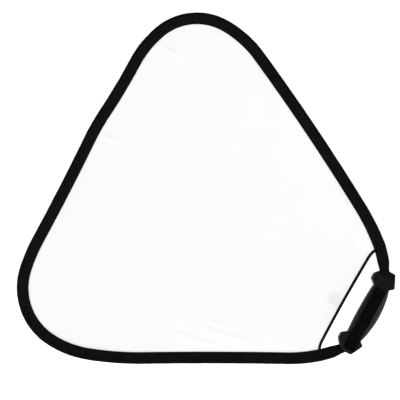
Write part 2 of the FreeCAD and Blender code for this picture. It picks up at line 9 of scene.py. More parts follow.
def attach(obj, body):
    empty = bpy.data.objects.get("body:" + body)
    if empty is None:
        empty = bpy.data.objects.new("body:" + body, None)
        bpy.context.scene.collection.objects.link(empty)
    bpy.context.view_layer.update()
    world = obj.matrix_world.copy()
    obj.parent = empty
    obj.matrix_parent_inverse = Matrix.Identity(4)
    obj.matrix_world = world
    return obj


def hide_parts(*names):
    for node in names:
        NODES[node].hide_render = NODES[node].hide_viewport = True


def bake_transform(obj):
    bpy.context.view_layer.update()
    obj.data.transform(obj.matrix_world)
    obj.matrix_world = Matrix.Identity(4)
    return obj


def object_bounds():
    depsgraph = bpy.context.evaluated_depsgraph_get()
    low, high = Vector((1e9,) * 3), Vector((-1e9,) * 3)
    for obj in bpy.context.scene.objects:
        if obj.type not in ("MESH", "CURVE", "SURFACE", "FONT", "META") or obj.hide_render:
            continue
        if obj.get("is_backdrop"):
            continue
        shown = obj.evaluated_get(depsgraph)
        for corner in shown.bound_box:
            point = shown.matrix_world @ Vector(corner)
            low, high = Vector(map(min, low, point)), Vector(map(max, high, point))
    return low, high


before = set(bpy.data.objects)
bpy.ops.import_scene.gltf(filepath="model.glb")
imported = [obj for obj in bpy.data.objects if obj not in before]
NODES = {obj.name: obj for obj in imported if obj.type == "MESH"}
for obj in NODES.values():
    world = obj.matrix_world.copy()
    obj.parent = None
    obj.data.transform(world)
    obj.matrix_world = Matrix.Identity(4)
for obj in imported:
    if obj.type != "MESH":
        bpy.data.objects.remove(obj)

CAD_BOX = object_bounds()
ROOT = "reflector"
TAB = "tab"
MM = 0.001
TAU = 2 * math.pi

# ---- sizes, in millimetres, in the grip's own axes ----
# x runs along the grip towards the upper collar, y towards the rear, and z
# from the grip into the panel.

TILT = math.radians(60.8)
RIM_START = (75.4, 2.8)
RIM_HEADING = 32.7
RIM_STRETCHES = [
    (40, 7.7), (35, 10.2), (35, 5.2), (42, 5.0), (360, 4.5), (90, 23.7), (140, 70.1),
    (80, 22.0), (115, -5.4), (65, 7.6), (220, -2.6), (65, 10.9), (160, 75.1), (80, 23.4),
    (110, 9.9), (285, -1.8), (125, 25.6),
]
RIM_LENGTH = sum(length for length, _ in RIM_STRETCHES)
BINDING_FULL = (23.2, 4.0, 1.3)        # width, roll radius, half the lip
BINDING_GATHERED = (19.0, 4.6, 3.4)
BINDING_WALL = 1.0
GATHERED_LENGTH = 16.0
GATHER_LENGTH = 20.0
SEAM_SHARES = (0.914, 0.44)            # of the half girth, from the fold to the lip
SEAM_PITCH = 3.4
SEAM_THREAD = 0.42
SEAM_START = 20.0                      # from the collar to the first stitch
BAND_CROSSING = 130.0                  # where the band passes under the middle of the tape
BAND_COVER = 0.2                       # how deep a fold may go there
SEAM_GROOVE = (0.30, 1.1)              # depth and half width of the groove along a seam
STITCH_DIP = (0.10, 0.8)               # and of the dip at each stitch
SEAM_BETWEEN = (0.68, 4.5)             # place and half width of the run between the seams
PUCKER = (0.07, 24.0)                  # height on a straight, and more with curvature
FOLD_DEPTH = 0.5                       # of the folds where the tape is gathered
HALF_GIRTH = 25.7                      # of the full tape, from the fold to a lip
FREE_FROM = (18.0, 8.0)                # end of the collar's hold, and its fade
GATHERS = (150.0, 100.0)               # end of the gathers' folds, and their fade
BINDING_FINE = (96.0, 1.2)             # length of fine steps near the collars, and the step
BINDING_STEP = 1.7

PANEL_HALF = 0.2
TAPE_APEX = 53.1
TAPE_MIDDLE = (95, -1.8)
TAPE_END = (22.5, -27.5)
TAPE_FOLD = (5.6, 0.85, 0.8)
TAPE_WALL = 0.55
TAPE_SEAM = 0.62                       # share of the half girth
TAPE_PITCH = 2.6
TAPE_STEP = 0.65

LABEL_PLACE = (-10.0, 56.4)
LABEL_SIZE = (24.0, 27.0)
LABEL_GAP = 0.1
LABEL_THICK = 0.4
LABEL_MARGIN = 0.3
LABEL_SEAM = 1.6                       # from the label's edge
LABEL_HEM = (3.2, 0.8)                 # width of the turned hem, and its fade
LABEL_FACE = 0.12                      # from the underside to the cloth's middle
LABEL_PITCH = 2.2
FINE_THREAD = 0.28

GRIP_REACH = 58.0
GRIP_INNER = (17.5, 2.6)
GRIP_OUTER = (16.0, 8.4)
GRIP_DEPTH = (13.0, 2.5)
GRIP_POWER = 2.5
PAD_EDGE = 12.0
PAD_REACH = 55.9
PAD_DEEP = 1.9
PAD_ROUND = (0.9, 0.85)                # run and depth of the rounded edge
PAD_BEAD = (0.16, 2.6, 0.55)           # depth, place and width of the groove by the edge
PAD_CROWN = (0.22, 9.0)                # height of the middle, and the run up to it
PAD_RADIUS = 20.0                      # turns an angle across it into a length
PAD_STEP = 0.8

STRAP_WIDTH = 23.0
WEBBING = 1.5
WEB_COLUMN = 1.64                      # pitch of the webbing's columns and ribs
WEB_RIB = 1.25
WEB_SELVEDGE = (10.2, 0.8)             # start of the thicker edge, and its fade
WEB_STEP = 0.32
BOX_PITCH = 2.0
STRAP_THREAD = 0.34
PATCH = 1.4
PATCH_GAP = 0.3
LOOP_BASE, HOOK_BASE = 0.75, 0.55      # woven grounds of the two patches
LOOP_COUNT = 1900
PATCH_WIDTH = STRAP_WIDTH - 2
HOOK_PITCH = (1.25, 1.1)
STRAP_SPAN = 52.0
STRAP_FOOT = 15.5
STRAP_APEX = 24.0
STRAP_LOWER_RUN = 22.15
STRAP_UPPER_RUN = 12.65
PIN_WRAP = 2.3
STRAP_RETURN = [(5.5, -25), (5.5, 25), (5.0, 0)]
TAB_LENGTH = 52.0
LOOP_SPAN = (12.0, 62.0)
HOOK_SPAN = (10.0, 46.0)


def place(x, y, z):
    """Points in the frame's axes, in metres, from millimetres in the grip's."""
    x, y, z = np.broadcast_arrays(x, y, z)
    c, s = math.cos(TILT), math.sin(TILT)
    return np.stack([x * c - z * s, y + 0.0 * x, x * s + z * c], -1) * MM


def smooth(t):
    """0 below 0, 1 above 1, and an even curve between."""
    t = np.clip(t, 0, 1)
    return t * t * (3 - 2 * t)


WAVE_PARTS = 5
WAVE_SPREAD = 0.35       # of the wavelengths, as a share of their middle


def waves(s, around, seed):
    """An irregular ripple along s, with wavelengths around a given one."""
    rng = np.random.default_rng(seed)
    total = 0.0
    for _ in range(WAVE_PARTS):
        length = around * (1 + WAVE_SPREAD * rng.uniform(-1, 1))
        total = total + np.sin(TAU * s / length + rng.uniform(0, TAU))
    return total / math.sqrt(WAVE_PARTS)


# ---- chains of lines and arcs ----

def walk(start, heading, stretches):
    """(x, z, heading, length, turn) of each stretch, angles in radians."""
    chain = []
    (x, z), h = start, math.radians(heading)
    for length, turn in stretches:
        bend = math.radians(turn)
        chain.append((x, z, h, length, bend))
        chord = length * np.sinc(bend / TAU)
        x += chord * math.cos(h + bend / 2)
        z += chord * math.sin(h + bend / 2)
        h += bend
    return chain


def along(chain, s):
    """Place, heading and curvature at distances s along a chain."""
    s = np.asarray(s, float)
    found = np.zeros((4,) + s.shape)
    begin = 0.0
    for x0, z0, h0, length, bend in chain:
        d = s - begin
        turn = bend * d / length
        chord = d * np.sinc(turn / TAU)
        here = np.stack([x0 + chord * np.cos(h0 + turn / 2), z0 + chord * np.sin(h0 + turn / 2),
                         h0 + turn, np.full(s.shape, bend / length)])
        found = np.where(d >= 0 if begin else True, here, found)
        begin += length
    return found


def beside(chain, s, w):
    """Points at distance w to the right of a chain, at s along it."""
    x, z, h, _ = along(chain, s)
    return x + np.sin(h) * w, z - np.cos(h) * w


# ---- meshes ----

def add_mesh(name, points, faces, material, uv=None):
    mesh = bpy.data.meshes.new(name)
    mesh.from_pydata(np.asarray(points).reshape(-1, 3).tolist(), [], faces)
    if uv is not None:
        layer = mesh.uv_layers.new(name="cloth")
        corner = np.zeros(len(mesh.loops), int)
        mesh.loops.foreach_get("vertex_index", corner)
        layer.data.foreach_set("uv", np.asarray(uv, float).reshape(-1, 2)[corner].ravel())
    mesh.polygons.foreach_set("use_smooth", [True] * len(mesh.polygons))
    mesh.materials.append(material)
    mesh.update()
    mesh.validate()
    thing = bpy.data.objects.new(name, mesh)
    bpy.context.scene.collection.objects.link(thing)
    return thing


def grid(rows, cols, wrap=False, first=0):
    """Quads over a grid of points, with the columns joined up if wrap."""
    r = np.arange(rows - 1)[:, None] * cols
    c = np.arange(cols if wrap else cols - 1)[None, :]
    d = (c + 1) % cols
    quads = np.stack([r + c, r + d, r + cols + d, r + cols + c], -1) + first
    return quads.reshape(-1, 4).tolist()


def slab(rows, cols):
    """Faces of a closed sheet: a grid, the grid behind it, and the edge."""
    count = rows * cols
    loop = list(range(cols)) + [r * cols + cols - 1 for r in range(1, rows)]
    loop += [(rows - 1) * cols + c for c in range(cols - 2, -1, -1)]
    loop += [r * cols for r in range(rows - 2, 0, -1)]
    faces = grid(rows, cols) + [face[::-1] for face in grid(rows, cols, first=count)]
    return faces + [[b, a, a + count, b + count] for a, b in zip(loop, loop[1:] + loop[:1])]


def unit(v):
    return v / np.maximum(np.linalg.norm(v, axis=-1, keepdims=True), 1e-12)


TUBE_UV_STEP = 3.7       # keeps the dye of neighbouring threads apart


def tubes(name, paths, ups, radii, sides, material):
    """Many short tubes as one mesh: paths (n, rings, 3), in metres."""
    count, rings = paths.shape[:2]
    run = unit(np.gradient(paths, axis=1))
    across = unit(np.cross(run, np.broadcast_to(ups, paths.shape)))
    up = np.cross(across, run)
    a = np.arange(sides) * TAU / sides
    r = np.asarray(radii)[None, :, None, None]
    points = paths[:, :, None] + r * (np.cos(a)[:, None] * up[:, :, None]
                                      + np.sin(a)[:, None] * across[:, :, None])
    one = np.array(grid(rings, sides, wrap=True))
    step = (np.arange(count) * rings * sides)[:, None]
    faces = (one.reshape(1, -1, 4) + step[:, :, None]).reshape(-1, 4).tolist()
    ends = np.arange(sides)
    faces += (ends[::-1][None] + step).tolist()
    faces += ((rings - 1) * sides + ends[None] + step).tolist()
    strides = np.linalg.norm(np.diff(paths, axis=1), axis=-1) / MM
    run = np.concatenate([np.zeros((count, 1)), np.cumsum(strides, 1)], 1)
    run = run + np.arange(count)[:, None] * TUBE_UV_STEP
    uv = np.stack(np.broadcast_arrays(run[:, :, None], np.arange(sides) / sides), -1)
    return add_mesh(name, points, faces, material, uv)


# One stitch, from hole to hole: how far along it, how high and how thick the
# thread is, as shares of the stitch's length and of the thread.
STITCH_LENGTH = 0.84     # of the pitch
STITCH_RUN = np.array([-0.5, -0.3, 0.0, 0.3, 0.5])
STITCH_LIFT = np.array([-0.55, 0.35, 0.62, 0.35, -0.55])
STITCH_RADII = np.array([0.34, 0.48, 0.5, 0.48, 0.34])
THREAD_SIDES = 5


def stitches(name, rows, pitch, thread, material):
    """Rows of lockstitches. A row is (surface, start, end), and surface gives
    points and normals, in metres, at distances in millimetres."""
    lift = (STITCH_LIFT * thread * MM)[None, :, None]
    paths, ups = [], []
    for surface, start, end in rows:
        count = max(1, int(round((end - start) / pitch)))
        step = (end - start) / count
        s = start + (np.arange(count) + 0.5)[:, None] * step + STITCH_RUN * STITCH_LENGTH * step
        points, normals = surface(s)
        paths.append(points + normals * lift)
        ups.append(normals)
    return tubes(name, np.concatenate(paths), np.concatenate(ups), STITCH_RADII * thread * MM,
                 THREAD_SIDES, material)


# ---- a tape folded over an edge ----

def fold_section(p, width, roll, lip):
    """Point and normal across a folded tape: p is 0 at the fold, 1 and -1 at
    its lips. Also the half girth."""
    centre, inner = width / 2 - roll, -width / 2
    touch = (np.arctan2(lip, inner - centre)
             - np.arccos(roll / np.hypot(centre - inner, lip)))
    tw, ty = centre + roll * np.cos(touch), roll * np.sin(touch)
    flat = np.hypot(tw - inner, ty - lip)
    girth = flat + roll * touch
    run = np.abs(p) * girth
    angle = np.minimum(run / roll, touch)
    t = np.clip((run - roll * touch) / flat, 0, 1)
    w = np.where(t > 0, tw + (inner - tw) * t, centre + roll * np.cos(angle))
    y = np.where(t > 0, ty + (lip - ty) * t, roll * np.sin(angle))
    side = np.where(p < 0, -1.0, 1.0)
    return w, side * y, np.cos(angle), side * np.sin(angle), girth


class FoldedTape:
    """A tape of some wall thickness folded along a chain, with a ripple."""

    def __init__(self, chain, sizes, ripple, wall):
        self.chain, self.sizes, self.ripple, self.wall = chain, sizes, ripple, wall

    def skin(self, s, p, sunk=0.0):
        width, roll, lip = self.sizes(s)
        w, y, nw, ny, girth = fold_section(p, width, roll, lip)
        d = self.ripple(s, p, along(self.chain, s)[3]) - sunk
        return w + nw * d, y + ny * d, nw, ny, girth

    def surface(self, share):
        """For stitches: points and normals along one line of the tape."""
        def at(s):
            w, y, nw, ny, _ = self.skin(s, np.full(s.shape, share))
            x, z = beside(self.chain, s, w)
            ex, ez = beside(self.chain, s, w + nw)
            points = place(x, y, z)
            return points, unit(place(ex, y + ny, ez) - points)
        return at

    def build(self, name, s, p, p_inner, material):
        s = s[:, None]
        half = self.wall / 2
        ring = []
        girth = self.skin(s, 0.0 * s)[4]
        for q in p:
            w, y = self.skin(s, q + 0 * s)[:2]
            ring.append((w, y, q * girth))
        ring += self.lip(s, 1.0, half, girth)
        for q in p_inner[::-1]:
            w, y = self.skin(s, q + 0 * s, self.wall)[:2]
            ring.append((w, y, q * girth))
        ring += self.lip(s, -1.0, half, girth)[::-1]
        w, y, g = (np.concatenate([part[i] for part in ring], 1) for i in range(3))
        x, z = beside(self.chain, s, w)
        cols = w.shape[1]
        faces = grid(len(s), cols, wrap=True)
        faces.append(list(range(cols))[::-1])
        faces.append([(len(s) - 1) * cols + i for i in range(cols)])
        faces = [face[::-1] for face in faces]
        uv = np.stack([s + 0 * g, g], -1)
        return add_mesh(name, place(x, y, z), faces, material, uv)

    def lip(self, s, side, half, girth):
        w, y, nw, ny, _ = self.skin(s, side + 0 * s)
        rounds = []
        for angle in (math.pi / 4, math.pi / 2, 3 * math.pi / 4):
            a, b = half * math.cos(angle) - half, half * math.sin(angle)
            rounds.append((w + nw * a - abs(ny) * b, y + ny * a + side * nw * b, side * girth))
        return rounds


# ---- materials ----

def node(tree, kind, feed=None, **settings):
    made = tree.nodes.new("ShaderNode" + kind)
    for key, value in settings.items():
        setattr(made, key, value)
    for key, value in (feed or {}).items():
        if isinstance(value, bpy.types.NodeSocket):
            tree.links.new(value, made.inputs[key])
        else:
            made.inputs[key].default_value = value
    return made


def calc(tree, operation, *values):
    return node(tree, "Math", dict(enumerate(values)), operation=operation).outputs[0]


def blank(name, **plain):
    """A new material, its tree and its Principled node."""
    material = bpy.data.materials.new(name)
    material.use_nodes = True
    shader = material.node_tree.nodes["Principled BSDF"]
    for key, value in plain.items():
        shader.inputs[key.replace("_", " ")].default_value = value
    return material, material.node_tree, shader


def scaled(tree, coords, x, y, z=1.0):
    return node(tree, "Mapping", {"Vector": coords, "Scale": (x, y, z)}).outputs[0]


def noise(tree, coords, scale, detail=3.0, rough=0.55):
    return node(tree, "TexNoise", {"Vector": coords, "Scale": scale, "Detail": detail,
                                   "Roughness": rough}).outputs["Fac"]


def spread(tree, value, low, high, at=(0.3, 0.7)):
    """value, which runs over at, brought to run from low to high."""
    return node(tree, "MapRange", {"Value": value, "From Min": at[0], "From Max": at[1],
                                   "To Min": low, "To Max": high}).outputs[0]


def tint(tree, share, dark, light):
    return node(tree, "Mix", {"Factor": share, 6: (*dark, 1), 7: (*light, 1)},
                data_type="RGBA").outputs[2]


def grey(level, warm=0.0):
    return (level * (1 + warm), level, level * (1 - warm))


def sine(tree, value, period):
    return calc(tree, "SINE", calc(tree, "MULTIPLY", value, TAU / period))


def weave(tree, coords, pitch, twill=0.0):
    """Height of a woven cloth, from coordinates in millimetres."""
    parts = node(tree, "SeparateXYZ", {0: coords}).outputs
    slanted = calc(tree, "MULTIPLY_ADD", parts[1], twill, parts[0])
    warp, weft = sine(tree, slanted, 2 * pitch), sine(tree, parts[1], 2 * pitch)
    return calc(tree, "MULTIPLY_ADD", calc(tree, "MULTIPLY", warp, weft), 0.5, 0.5)


def raise_by(tree, shader, height, distance):
    bump = node(tree, "Bump", {"Height": height, "Distance": distance, "Strength": 1.0})
    tree.links.new(bump.outputs[0], shader.inputs["Normal"])


def cloth_material(name, dark, light, pitch, rough, sheen, twill=0.0, depth=0.00012,
                   specular=0.05, painted_fold_shading=0.0):
    """Black woven tape: threads, uneven dye, lint and a faint sheen; and, where asked, painted
    shade in the hollows of its folds and painted highlight on their ridges.
    """
    material, tree, shader = blank(name, Sheen_Weight=sheen, Sheen_Roughness=0.4,
                                   Specular_IOR_Level=specular)
    shader.inputs["Sheen Tint"].default_value = (0.8, 0.85, 0.9, 1)
    uv = node(tree, "UVMap", uv_map="cloth").outputs[0]
    threads = weave(tree, uv, pitch, twill)
    blotch = noise(tree, uv, 0.06, 4.0)
    lint = noise(tree, scaled(tree, uv, 1.0, 1.6), 0.5, 4.0, 0.65)
    share = calc(tree, "MULTIPLY", spread(tree, lint, 0.0, 0.7, (0.42, 0.7)),
                 calc(tree, "MULTIPLY_ADD", threads, 0.5, 0.5))
    share = calc(tree, "ADD", spread(tree, blotch, 0.0, 0.35, (0.4, 0.7)), share)
    if painted_fold_shading:
        # Painted shade and highlight: darker where the cloth curves in, lighter where it curves
        # out.
        bend = node(tree, "NewGeometry").outputs["Pointiness"]
        share = calc(tree, "ADD", share, spread(tree, bend, -painted_fold_shading, painted_fold_shading, (0.46, 0.54)))
    tree.links.new(tint(tree, share, dark, light), shader.inputs["Base Color"])
    tree.links.new(spread(tree, blotch, rough - 0.1, rough + 0.1), shader.inputs["Roughness"])
    raise_by(tree, shader, calc(tree, "ADD", threads, calc(tree, "MULTIPLY", lint, 0.4)), depth)
    return material


def panel_material():
    """White plain-woven nylon that lets some light through."""
    material, tree, shader = blank("panel_fabric", Sheen_Weight=0.12, Sheen_Roughness=0.5,
                                   Specular_IOR_Level=0.2)
    uv = node(tree, "UVMap", uv_map="cloth").outputs[0]
    threads = weave(tree, uv, 0.32)
    cloud = noise(tree, uv, 0.012, 4.0, 0.6)
    slub = noise(tree, scaled(tree, uv, 0.25, 6.0), 1.0, 2.0)
    share = calc(tree, "ADD", spread(tree, cloud, 0.38, 0.62),
                 spread(tree, slub, -0.15, 0.15))
    colour = tint(tree, share, (0.917, 0.902, 0.909), (0.942, 0.929, 0.935))
    tree.links.new(colour, shader.inputs["Base Color"])
    tree.links.new(spread(tree, slub, 0.74, 0.86), shader.inputs["Roughness"])
    raise_by(tree, shader, threads, 0.00004)
    through = node(tree, "BsdfTranslucent", {"Color": (0.942, 0.932, 0.931, 1)})
    mixed = node(tree, "MixShader", {0: 0.25, 1: shader.outputs[0], 2: through.outputs[0]})
    tree.links.new(mixed.outputs[0], tree.nodes["Material Output"].inputs["Surface"])
    return material


def moulded_material(name, dark, light, grain, depth, rough, specular, polish):
    """Moulded plastic or rubber: spark grain, flow marks, rubbed edges."""
    material, tree, shader = blank(name, Specular_IOR_Level=specular)
    coords = node(tree, "TexCoord").outputs["Object"]
    pits = node(tree, "TexVoronoi", {"Vector": coords, "Scale": grain},
                feature="SMOOTH_F1").outputs[0]
    fine = noise(tree, coords, grain * 0.9, 3.0, 0.7)
    flow = noise(tree, scaled(tree, coords, 1.0, 1.6, 0.7), 45.0, 4.0)
    rub = spread(tree, node(tree, "NewGeometry").outputs["Pointiness"], 0.0, polish, (0.51, 0.6))
    speck = spread(tree, fine, 0.0, 0.5, (0.45, 0.8))
    share = calc(tree, "ADD", calc(tree, "ADD", spread(tree, flow, 0.0, 0.5), speck), rub)
    tree.links.new(tint(tree, share, dark, light), shader.inputs["Base Color"])
    matt = calc(tree, "SUBTRACT", spread(tree, flow, rough - 0.06, rough + 0.08),
                calc(tree, "MULTIPLY", rub, 0.12))
    tree.links.new(matt, shader.inputs["Roughness"])
    raise_by(tree, shader, calc(tree, "ADD", pits, calc(tree, "MULTIPLY", fine, 0.7)), depth)
    return material


def steel_material(name, dark, light, rough, stretch):
    """Drawn, blued or plated steel, with fine marks along the piece."""
    material, tree, shader = blank(name, Metallic=1.0)
    coords = node(tree, "TexCoord").outputs["Object"]
    marks = noise(tree, scaled(tree, coords, *stretch), 900.0, 3.0, 0.65)
    cloud = noise(tree, coords, 60.0, 3.0)
    share = calc(tree, "MULTIPLY_ADD", marks, 0.5, calc(tree, "MULTIPLY", cloud, 0.5))
    tree.links.new(tint(tree, spread(tree, share, 0.0, 1.0), dark, light),
                   shader.inputs["Base Color"])
    tree.links.new(spread(tree, marks, rough - 0.08, rough + 0.12), shader.inputs["Roughness"])
    raise_by(tree, shader, marks, 0.00001)
    return material


# The binding's folds carry painted shade in their hollows and painted highlight on their ridges.
BINDING_CLOTH = cloth_material("binding_tape", grey(0.0007), grey(0.008), pitch=0.45, rough=0.45,
                               sheen=0.001, twill=0.5, specular=0.04, painted_fold_shading=0.6)
TAPE_CLOTH = cloth_material("edge_tape", grey(0.003, 0.1), grey(0.007, 0.1), pitch=0.35,
                            rough=0.65, sheen=0.004)
WEB_CLOTH = cloth_material("webbing", grey(0.0007), grey(0.003), pitch=0.5, rough=0.6,
                           sheen=0.001, twill=1.0, specular=0.03)
LOOP_CLOTH = cloth_material("loop_pile", grey(0.002), grey(0.006), pitch=0.6, rough=0.85,
                            sheen=0.01)
HOOK_CLOTH = cloth_material("hook_tape", grey(0.002), grey(0.006), pitch=0.5, rough=0.5,
                            sheen=0.004)
LABEL_CLOTH = cloth_material("label_tape", (0.42, 0.415, 0.41), (0.54, 0.535, 0.53), pitch=0.3,
                             rough=0.5, sheen=0.1)
THREAD = cloth_material("thread_black", grey(0.003), grey(0.008), pitch=0.3, rough=0.5,
                        sheen=0.01)
PALE_THREAD = cloth_material("thread_grey", grey(0.35), grey(0.45), pitch=0.3, rough=0.5,
                             sheen=0.05)
PANEL_CLOTH = panel_material()
SHELL = moulded_material("shell_plastic", grey(0.0006), grey(0.004), grain=2600, depth=0.0001,
                         rough=0.44, specular=0.1, polish=0.9)
PAD = moulded_material("pad_rubber", grey(0.002), grey(0.005), grain=1900, depth=0.00006,
                       rough=0.45, specular=0.22, polish=0.3)
TIP = moulded_material("tip_plastic", grey(0.0006), grey(0.002), grain=3000, depth=0.00004,
                       rough=0.45, specular=0.03, polish=0.3)
INNER = moulded_material("inner_plastic", grey(0.03), grey(0.06), grain=1500, depth=0.00004,
                         rough=0.5, specular=0.5, polish=0.3)
BAND_STEEL = steel_material("spring_steel", (0.12, 0.13, 0.17), (0.34, 0.35, 0.4), rough=0.35,
                            stretch=(1, 6, 1))
SCREW_STEEL = steel_material("screw_steel", grey(0.035), grey(0.10), rough=0.42,
                             stretch=(1, 0.3, 1))
PIN_STEEL = steel_material("pin_steel", grey(0.42), grey(0.6), rough=0.28, stretch=(1, 5, 1))


# ---- rim and its binding ----

RIM = walk(RIM_START, RIM_HEADING, RIM_STRETCHES)


def binding_sizes(s):
    near = np.minimum(s, RIM_LENGTH - s)
    ease = (1 - np.cos(math.pi * np.clip((near - GATHERED_LENGTH) / GATHER_LENGTH, 0, 1))) / 2
    return [low + (high - low) * ease for low, high in zip(BINDING_GATHERED, BINDING_FULL)]


def binding_ripple(s, p, curve):
    """How far the binding's cloth stands off its smooth shape: it is uneven,
    sinks in along its seams, puckers between them and at the lip, and lies in
    lengthwise folds where it is gathered into the collars."""
    near = np.minimum(s, RIM_LENGTH - s)
    free = smooth((near - FREE_FROM[0]) / FREE_FROM[1])
    gathered = free * smooth((GATHERS[0] - near) / GATHERS[1])
    depth = np.abs(p)
    side = np.where(p < 0, 0.0, 37.0)
    total = 0.10 * waves(s + 3 * side, 70, 3)
    for share in SEAM_SHARES:
        across = (depth - share) * HALF_GIRTH
        total = total - SEAM_GROOVE[0] * np.exp(-(across / SEAM_GROOVE[1]) ** 2)
        dip = STITCH_DIP[0] * np.exp(-(across / STITCH_DIP[1]) ** 2)
        total = total - dip * np.cos(TAU * s / SEAM_PITCH)
    between = np.exp(-((depth - SEAM_BETWEEN[0]) * HALF_GIRTH / SEAM_BETWEEN[1]) ** 2)
    at_lip = smooth((depth - 0.93) / 0.07)
    pucker = waves(s + side, 13, 5) + 0.5 * waves(s + side, 7.5, 6)
    total = total + (PUCKER[0] + PUCKER[1] * np.abs(curve)) * pucker * (between + 0.6 * at_lip)
    total = total + 0.06 * waves(s + 0.6 * side, 17, 9) * smooth((0.4 - depth) / 0.3)
    drift = 0.8 * np.sin(s / 21) + 0.5 * np.sin(s / 9.5 + 2)
    folds = (np.cos(TAU * 4.2 * p + drift + 1.1) + 0.55 * np.cos(TAU * 7.7 * p + s / 30 - drift)
             + 0.35 * np.cos(TAU * 11.3 * p - s / 17))
    total = total * free + FOLD_DEPTH * gathered * folds
    return np.where(near < BAND_CROSSING, np.maximum(total, -BAND_COVER), total)


binding = FoldedTape(RIM, binding_sizes, binding_ripple, BINDING_WALL)
fine_run, fine_step = BINDING_FINE
stations = np.concatenate([np.arange(0, fine_run, fine_step),
                           np.arange(fine_run, RIM_LENGTH - fine_run, BINDING_STEP),
                           np.arange(RIM_LENGTH - fine_run, RIM_LENGTH, fine_step), [RIM_LENGTH]])
shares = np.array([0, .035, .07, .105, .14, .175, .21, .245, .28, .31, .34, .37, .395, .418, .44,
                   .462, .485, .51, .54, .57, .6, .63, .66, .69, .72, .75, .78, .81, .84, .865,
                   .885, .9, .914, .928, .945, .963, .982, 1.0])
shares = np.concatenate([-shares[:0:-1], shares])
edge_binding = binding.build("rim_binding", stations, shares, np.linspace(-1, 1, 9), BINDING_CLOTH)
seam_ends = (SEAM_START, RIM_LENGTH - SEAM_START)
binding_seams = stitches("rim_binding_seams",
                         [(binding.surface(side * share), *seam_ends)
                          for side in (-1, 1) for share in SEAM_SHARES],
                         SEAM_PITCH, SEAM_THREAD, THREAD)

# ---- the panel ----

half_tape = [TAPE_MIDDLE, TAPE_END]
TAPE_LENGTH = 2 * sum(length for length, _ in half_tape)
tx, tz, th, _ = along(walk((0.0, TAPE_APEX), 0.0, half_tape), TAPE_LENGTH / 2).tolist()
TAPE = walk((-tx, tz), -math.degrees(th),
            [TAPE_END, (2 * TAPE_MIDDLE[0], 2 * TAPE_MIDDLE[1]), TAPE_END])

# Creases where the fabric is drawn, from end to end, in millimetres in the
# frame's own axes: (x0, z0, x1, z1, height, half width).
CREASES = [
    (-397, -35, -282, -71, 1.3, 5.0), (-343, -4, -272, -33, 1.1, 4.5),
    (-341, -24, -206, -76, 1.4, 5.5), (-377, -14, -341, -40, 0.9, 4.5),
    (-362, -55, -322, -78, 0.8, 4.5), (-310, -47, -250, -76, 0.8, 4.5),
    (-424, 538, -358, 502, 1.4, 6.0), (-410, 512, -372, 494, 0.35, 4.0),
    (-526, 354, -490, 330, 1.3, 5.0), (-62, 176, -20, 156, 0.5, 5.0),
    (-98, 60, -46, 20, 0.5, 6.5), (-600, 60, -560, 96, 0.4, 6.0),
]
CREASE_WAVER = 2.5       # off a straight line
CREASE_FADE = 0.3        # at each end, as a share of the length


def crease_height(x, z):
    """Height of the creases at x, z in the frame's axes, all in millimetres."""
    total = np.zeros(x.shape)
    for i, (x0, z0, x1, z1, height, half) in enumerate(CREASES):
        length = math.hypot(x1 - x0, z1 - z0)
        ux, uz = (x1 - x0) / length, (z1 - z0) / length
        t = ((x - x0) * ux + (z - z0) * uz) / length
        d = (z - z0) * ux - (x - x0) * uz + CREASE_WAVER * np.sin(3 * t + i)
        ends = smooth(t / CREASE_FADE) * smooth((1 - t) / CREASE_FADE)
        total += height * ends * np.exp(-(d / half) ** 2)
    return total


HEM = 8.0                # inside the binding, where the panel stays flat
PUCKER_MIDDLE = (-330, 170)              # the hem's puckers run round this point
PUCKER_RADIUS = 330


def panel_offset(x, z, inside):
    """Creases, seam puckers and a slow sag, in millimetres; inside is the
    distance from the edge of the fabric."""
    drawn = smooth((inside - HEM) / 18)
    creased = smooth((inside - HEM) / 9)
    slow = 0.9 * np.sin(x / 118 + 0.6) * np.sin(z / 131 - 0.4) + 0.4 * np.sin((x + z) / 71)
    bearing = np.arctan2(z - PUCKER_MIDDLE[1], x - PUCKER_MIDDLE[0])
    pucker = 0.22 * smooth((inside - 9.6) / 5) * np.exp(-inside / 22)
    pucker = pucker * waves(bearing * PUCKER_RADIUS, 17, 11)
    return drawn * slow + creased * crease_height(x, z) + pucker


def open_edges(faces):
    """Edges that only one face has, in that face's order."""
    used = {}
    for face in faces:
        for a, b in zip(face, face[1:] + face[:1]):
            used[a, b] = True
    return [(a, b) for a, b in used if (b, a) not in used]


def panel_border():
    """The flat outline of the CAD panel, in order, in metres."""
    mesh = NODES["white_panel"].data
    front = [v.co.y < -0.5 * PANEL_HALF * MM for v in mesh.vertices]
    corners = [(round(v.co.x, 6), round(v.co.z, 6)) for v in mesh.vertices]
    outer = dict(open_edges([[corners[i] for i in face.vertices] for face in mesh.polygons
                             if all(front[i] for i in face.vertices)]))
    start = min(outer)
    loop = [start]
    while outer[loop[-1]] != start:
        loop.append(outer[loop[-1]])
    return np.array(loop)


def even_loop(loop, step):
    """A closed line resampled to even steps."""
    closed = np.vstack([loop, loop[:1]])
    run = np.concatenate([[0], np.cumsum(np.linalg.norm(np.diff(closed, axis=0), axis=1))])
    at = np.linspace(0, run[-1], int(run[-1] / step) + 1)[:-1]
    return np.stack([np.interp(at, run, closed[:, i]) for i in (0, 1)], -1)


ROW_PITCH = 0.866        # of a triangular lattice, as a share of its step


def lattice(low, high, step):
    """A triangular lattice of points over a box."""
    points = []
    for i, z in enumerate(np.arange(low[1], high[1], step * ROW_PITCH)):
        x = np.arange(low[0] + (i % 2) * step / 2, high[0], step)
        points.append(np.stack([x, np.full(len(x), z)], -1))
    return np.concatenate(points)


def within(points, loop):
    """Which points are inside a closed line."""
    inside = np.zeros(len(points), bool)
    for (x0, z0), (x1, z1) in zip(loop, np.roll(loop, -1, 0)):
        if z0 != z1:
            spans = (z0 > points[:, 1]) != (z1 > points[:, 1])
            cut = x0 + (points[:, 1] - z0) * (x1 - x0) / (z1 - z0)
            inside ^= spans & (points[:, 0] < cut)
    return inside


